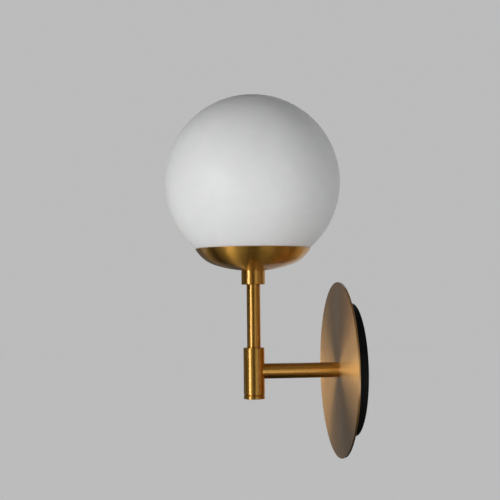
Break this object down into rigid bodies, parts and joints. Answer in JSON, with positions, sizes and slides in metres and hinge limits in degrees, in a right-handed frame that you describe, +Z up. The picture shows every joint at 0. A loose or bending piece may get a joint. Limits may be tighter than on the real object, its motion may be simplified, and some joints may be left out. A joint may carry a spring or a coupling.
{
  "type": "globe wall sconce",
  "caption": "Wall sconce: opal glass globe in a spun bowl on a turned stem and arm, standing out from a thin round disc.",
  "frame": {"origin": "on the wall plane, where the axis of the arm meets the wall, at the centre of the backplate and of the two screw slots", "axes": "+Z up, +Y into the wall, the lamp stands out along -Y, X across"},
  "size_m": [0.151, 0.161, 0.3123],
  "materials": {
    "opal_glass": "satin opal, closed white",
    "brushed_brass": "brushed round the axis, aged, satin",
    "plain_brass": "plain",
    "zinc_steel": "zinc plated",
    "spring_steel": "bright",
    "black_paint": "satin black",
    "ceramic_white": "half matt",
    "soft_ring": "matt silicone",
    "led_board": "white board with yellow chips",
    "frosted_cover": "frosted",
    "block_plastic": "plain",
    "black_plastic": "plain",
    "green_screw": "green passivated steel",
    "wire_black": "insulated wire",
    "wire_white": "insulated wire",
    "wire_green": "insulated wire"
  },
  "bodies": {
    "root": {"globe_gasket": "soft_ring", "globe_clip": "spring_steel", "fitter_bowl": "brushed_brass", "fitter_collar": "brushed_brass", "fitter_nipple": "zinc_steel", "fitter_lock_washer": "zinc_steel", "fitter_nut": "zinc_steel", "lampholder_bracket": "zinc_steel", "lampholder_body": "ceramic_white", "lampholder_contacts": "spring_steel", "lampholder_screws": "zinc_steel", "stem": "brushed_brass", "hub": "brushed_brass", "hub_end_cap": "brushed_brass", "hub_nipple": "zinc_steel", "arm": "brushed_brass", "arm_nipple": "zinc_steel", "arm_lock_washer": "zinc_steel", "arm_nut": "zinc_steel", "backplate": "brushed_brass", "canopy_pan": "black_paint", "canopy_screws": "black_paint", "wall_bracket": "zinc_steel", "terminal_block": "block_plastic", "terminal_sleeves": "plain_brass", "terminal_screws": "zinc_steel", "terminal_fixing_screw": "zinc_steel", "ground_screw": "green_screw", "ground_lug": "spring_steel", "nipple_bushings": "black_plastic", "line_wire": "wire_black", "neutral_wire": "wire_white", "ground_wire": "wire_green"},
    "globe": {"globe": "opal_glass"},
    "bulb": {"bulb_base": "ceramic_white", "bulb_pins": "spring_steel", "bulb_led_column": "led_board", "bulb_cover": "frosted_cover"}
  },
  "joints": [
    {"name": "globe_lift", "type": "slide", "parent": "root", "child": "globe", "axis": [0, 0, 1], "range_m": [0, 0.09]},
    {"name": "bulb_pull", "type": "slide", "parent": "root", "child": "bulb", "axis": [0, 0, 1], "range_m": [0, 0.02]}
  ]
}
